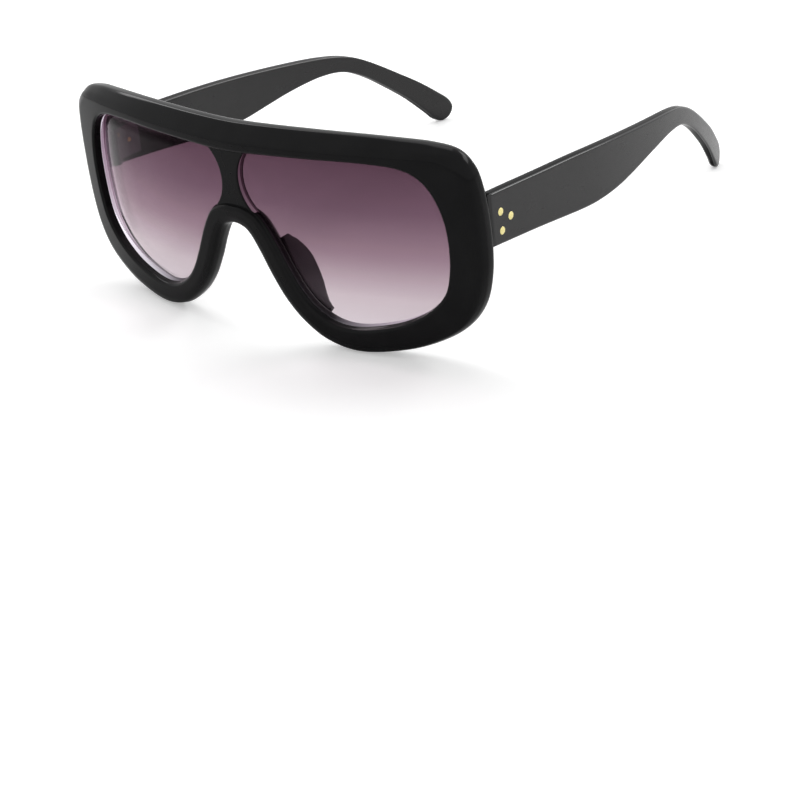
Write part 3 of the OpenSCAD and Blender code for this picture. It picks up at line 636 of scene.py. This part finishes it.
def noise(nodes, links, grain, stretch=(1, 1, 1)):
    """Fine procedural noise in the object's own space; grain is its scale and detail."""
    place = nodes.new("ShaderNodeTexCoord")
    mapping = nodes.new("ShaderNodeMapping")
    mapping.inputs["Scale"].default_value = stretch
    texture = nodes.new("ShaderNodeTexNoise")
    texture.inputs["Scale"].default_value, texture.inputs["Detail"].default_value = grain
    links.new(place.outputs["Object"], mapping.inputs["Vector"])
    links.new(mapping.outputs["Vector"], texture.inputs["Vector"])
    return texture.outputs["Fac"]


def along(nodes, links, axis, start, end):
    """Runs from 0 to 1 between two distances in millimetres along an axis, on both sides."""
    place = nodes.new("ShaderNodeTexCoord")
    split = nodes.new("ShaderNodeSeparateXYZ")
    links.new(place.outputs["Object"], split.inputs["Vector"])
    size = nodes.new("ShaderNodeMath")
    size.operation = "ABSOLUTE"
    links.new(split.outputs[axis], size.inputs[0])
    reach = nodes.new("ShaderNodeMapRange")
    reach.inputs["From Min"].default_value = start * MM
    reach.inputs["From Max"].default_value = end * MM
    links.new(size.outputs[0], reach.inputs["Value"])
    return reach.outputs["Result"]


def vary(nodes, links, value, low, high):
    """Turns noise into values between a low and a high one."""
    reach = nodes.new("ShaderNodeMapRange")
    reach.inputs["From Min"].default_value, reach.inputs["From Max"].default_value = NOISE_SPAN
    reach.inputs["To Min"].default_value = low
    reach.inputs["To Max"].default_value = high
    links.new(value, reach.inputs["Value"])
    return reach.outputs["Result"]


def colours(nodes, links, value, stops):
    """Turns a value into a colour that runs through the stops."""
    ramp = nodes.new("ShaderNodeValToRGB")
    while len(ramp.color_ramp.elements) < len(stops):
        ramp.color_ramp.elements.new(0.5)
    for element, (at, colour) in zip(ramp.color_ramp.elements, stops):
        element.position = at
        element.color = (*colour, 1)
    links.new(value, ramp.inputs["Fac"])
    return ramp.outputs["Color"]


def bump(nodes, links, shader, height, strength, depth):
    """Fine relief on a shader's surface, with its depth in millimetres."""
    node = nodes.new("ShaderNodeBump")
    node.inputs["Strength"].default_value = strength
    node.inputs["Distance"].default_value = depth * MM
    links.new(height, node.inputs["Height"])
    links.new(node.outputs["Normal"], shader.inputs["Normal"])


def plastic(name, dark, light, roughness, level, ripple):
    """Moulded and polished plastic, with faint clouding, polish marks and a hint of ripple."""
    material, nodes, links, shader = new_material(name)
    cloud = noise(nodes, links, CLOUD_NOISE)
    tone = colours(nodes, links, cloud, list(zip(NOISE_SPAN, (dark, light))))
    links.new(tone, shader.inputs["Base Color"])
    marks = noise(nodes, links, MARK_NOISE, MARK_STRETCH)
    links.new(vary(nodes, links, marks, *roughness), shader.inputs["Roughness"])
    bump(nodes, links, shader, noise(nodes, links, RIPPLE_NOISE), ripple, RIPPLE_DEPTH)
    shader.inputs["IOR"].default_value = PLASTIC_IOR
    shader.inputs["Specular IOR Level"].default_value = level
    return material


def metal(name, dark, light, roughness, stretch):
    """Metal with fine brushed marks."""
    material, nodes, links, shader = new_material(name)
    marks = noise(nodes, links, BRUSH_NOISE, stretch)
    tone = colours(nodes, links, marks, list(zip(NOISE_SPAN, (dark, light))))
    links.new(tone, shader.inputs["Base Color"])
    links.new(vary(nodes, links, marks, *roughness), shader.inputs["Roughness"])
    bump(nodes, links, shader, marks, BRUSH_STRENGTH, BRUSH_DEPTH)
    shader.inputs["Metallic"].default_value = 1.0
    return material


def lens_tint(name, stops, shine_stops):
    """Smoky plastic that fades from a dark top to an almost clear foot, with a thin reflection."""
    material, nodes, links, shader = new_material(name)
    tint = colours(nodes, links, along(nodes, links, "Z", *LENS_RAMP), stops)
    film = nodes.new("ShaderNodeBsdfTransparent")
    links.new(tint, film.inputs["Color"])
    facing = nodes.new("ShaderNodeLayerWeight")
    facing.inputs["Blend"].default_value = FACING_BLEND
    stops = [(at, (v, v, v)) for at, v in shine_stops]
    mix = nodes.new("ShaderNodeMixShader")
    links.new(colours(nodes, links, facing.outputs["Facing"], stops), mix.inputs["Fac"])
    links.new(film.outputs["BSDF"], mix.inputs[1])
    gloss = nodes.new("ShaderNodeBsdfGlossy")
    gloss.inputs["Color"].default_value = (1, 1, 1, 1)
    gloss.inputs["Roughness"].default_value = LENS_POLISH
    links.new(gloss.outputs["BSDF"], mix.inputs[2])
    output = next(n for n in nodes if n.type == "OUTPUT_MATERIAL")
    links.new(mix.outputs["Shader"], output.inputs["Surface"])
    nodes.remove(shader)
    return material


def painted_groove_glow(name, axis, reach, stops, strength):
    """The bottom of a groove with a painted glow, which stands in for light running through the
    lens's plastic.
    """
    material, nodes, links, shader = new_material(name)
    glow = colours(nodes, links, along(nodes, links, axis, *reach), stops)
    links.new(glow, shader.inputs["Emission Color"])
    shader.inputs["Base Color"].default_value = GROOVE_TONE
    shader.inputs["Roughness"].default_value = GROOVE_ROUGHNESS
    shader.inputs["Emission Strength"].default_value = strength
    return material


def make_floor():
    """A plain pale table top, which shows the camera a clean white with the object's shadow."""
    material, nodes, links, shader = new_material("pale_table")
    shader.inputs["Base Color"].default_value = TABLE_TONE
    shader.inputs["Roughness"].default_value = TABLE_ROUGHNESS
    shader.inputs["Specular IOR Level"].default_value = TABLE_LEVEL
    shader.inputs["Emission Color"].default_value = (1, 1, 1, 1)
    path = nodes.new("ShaderNodeLightPath")
    lift = nodes.new("ShaderNodeMath")
    lift.operation = "MULTIPLY"
    links.new(path.outputs["Is Camera Ray"], lift.inputs[0])
    lift.inputs[1].default_value = FLOOR_LIFT
    links.new(lift.outputs[0], shader.inputs["Emission Strength"])
    low, high = -TABLE_HALF, TABLE_HALF
    corners = [(low, low, 0), (high, low, 0), (high, high, 0), (low, high, 0)]
    floor = make_piece("table_top", corners, [[0, 1, 2, 3]], material, None, smooth=False)


def make_lamp(name, place, size):
    """A soft rectangular lamp that faces the glasses. Lengths are in millimetres."""
    data = bpy.data.lights.new(name, "AREA")
    data.shape = "RECTANGLE"
    data.size, data.size_y = size[0] * MM, size[1] * MM
    data.energy = LAMP_WATTS
    lamp = bpy.data.objects.new(name, data)
    lamp.location = Vector(place) * MM
    aim = (Vector(LAMP_TARGET) - Vector(place)).normalized()
    lamp.rotation_mode = "QUATERNION"
    lamp.rotation_quaternion = aim.to_track_quat("-Z", "Y")
    bpy.context.scene.collection.objects.link(lamp)


def make_world():
    """A grey sky that the camera and mirrored and transmitted rays see as white."""
    world = bpy.data.worlds.new("studio")
    bpy.context.scene.world = world
    world.use_nodes = True
    nodes, links = world.node_tree.nodes, world.node_tree.links
    background = next(n for n in nodes if n.type == "BACKGROUND")
    path = nodes.new("ShaderNodeLightPath")
    seen = path.outputs["Is Camera Ray"]
    for name in ("Is Glossy Ray", "Is Transmission Ray"):
        more = nodes.new("ShaderNodeMath")
        more.operation = "MAXIMUM"
        links.new(seen, more.inputs[0])
        links.new(path.outputs[name], more.inputs[1])
        seen = more.outputs[0]
    mix = nodes.new("ShaderNodeMix")
    mix.data_type = "RGBA"
    mix.inputs["A"].default_value = SKY_LIGHT
    mix.inputs["B"].default_value = SKY_SEEN
    links.new(seen, mix.inputs["Factor"])
    links.new(mix.outputs["Result"], background.inputs["Color"])


def make_camera():
    """The camera of the photograph's quarter view."""
    a, e, r = (math.radians(v) for v in (CAM_AZIMUTH, CAM_ELEVATION, CAM_ROLL))
    back = Vector((math.sin(a) * math.cos(e), -math.cos(a) * math.cos(e), math.sin(e)))
    level = Vector((math.cos(a), math.sin(a), 0))
    rise = back.cross(level)
    right = level * math.cos(r) + rise * math.sin(r)
    up = rise * math.cos(r) - level * math.sin(r)
    aim = Vector((0, -OVERALL_D / 2, CAM_AIM_Z)) + right * CAM_AIM_RIGHT + up * CAM_AIM_UP
    data = bpy.data.cameras.new("camera")
    data.sensor_width = SENSOR
    data.lens = CAM_FOCAL_PX / PICTURE * SENSOR
    data.shift_y = (CAM_AXIS_Y - PICTURE / 2) / PICTURE
    data.clip_start, data.clip_end = CAM_CLIP
    camera = bpy.data.objects.new("camera", data)
    camera.rotation_mode = "QUATERNION"
    turn = Matrix((right, up, back)).transposed()
    camera.rotation_quaternion = turn.to_quaternion()
    camera.location = (aim + back * CAM_DISTANCE) * MM
    bpy.context.scene.collection.objects.link(camera)
    bpy.context.scene.camera = camera


# Plastics: dark and light tone, range of roughness, strength of the reflection and of the ripple
GLOSS = plastic("polished_black", (0.0045, 0.0045, 0.005), (0.007, 0.007, 0.0075),
                (0.09, 0.15), 0.11, 0.05)
SHINE = plastic("polished_rounding", (0.005, 0.005, 0.0055), (0.008, 0.008, 0.0085),
                (0.1, 0.16), 0.5, 0.03)
# Painted shade: a darker copy of the black plastic that barely reflects, for the temples' flat top
# and lower edges
EDGE = plastic("shaded_temple_edge", (0.003, 0.003, 0.0035), (0.005, 0.005, 0.0055),
               (0.1, 0.16), 0.02, 0.03)
PAD = plastic("pad_grey", (0.1, 0.096, 0.105), (0.14, 0.135, 0.145), (0.12, 0.2), 0.4, 0.03)
SATIN = plastic("satin_black", (0.009, 0.0085, 0.0088), (0.013, 0.0122, 0.0126),
                (0.22, 0.28), 0.45, 0.04)
LENS = lens_tint("smoke_tint", LENS_STOPS, SHINE_STOPS)
LENS_SIDE = lens_tint("clear_side", SIDE_STOPS, SIDE_SHINE_STOPS)
# Painted glow in the rim's groove, dark in the middle of the front and bright towards its ends
LENS_GROOVE_GLOW = painted_groove_glow("painted_lens_groove_glow", "X", (0.0, WINDOW_HALF_W), GROOVE_GLOW_STOPS, 1.4)
# Painted glow in the bar's groove, in the lens's tint colours, standing in for the bright table
# seen through the lens
BAR_GROOVE_GLOW = painted_groove_glow("painted_bar_glow", "Z", LENS_RAMP, LENS_STOPS, 0.9)
# Metals: dark and light tone, range of roughness and direction of the brushed marks
BRASS = metal("pale_brass", (0.93, 0.8, 0.32), (1.0, 0.91, 0.46), (0.2, 0.32), (1, 1, 1))
STEEL = metal("hinge_metal", (0.2, 0.2, 0.21), (0.3, 0.3, 0.315), (0.3, 0.45), (1, 1, 0.15))
SCREW = metal("screw_metal", (0.42, 0.42, 0.45), (0.6, 0.6, 0.63), (0.2, 0.34), (0.2, 1, 1))
WIRE = metal("wire_metal", (0.45, 0.45, 0.47), (0.62, 0.62, 0.64), (0.3, 0.45), (1, 0.1, 1))

front_piece = make_front(GLOSS, LENS_GROOVE_GLOW, BAR_GROOVE_GLOW)
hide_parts("front_frame")

for side in (LEFT, RIGHT):
    make_lens(side, LENS, LENS_SIDE)
    make_temple(side, SATIN, SHINE, EDGE)
    make_rivets(side, BRASS)
    make_pad(side, PAD)

# The CAD's own pieces that show as they are
CARRIED = {"front_leaf": STEEL, "temple_leaf": STEEL, "hinge_screw": SCREW, "core_wire": WIRE}
for ending, material in CARRIED.items():
    for side in (LEFT, RIGHT):
        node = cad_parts[SIDE_NAMES[side] + "_" + ending]
        node.data.materials.clear()
        node.data.materials.append(material)

make_floor()
make_world()
for name, (place, size) in LAMPS.items():
    make_lamp(name, place, size)
make_camera()
bpy.context.scene.view_settings.view_transform = "Standard"
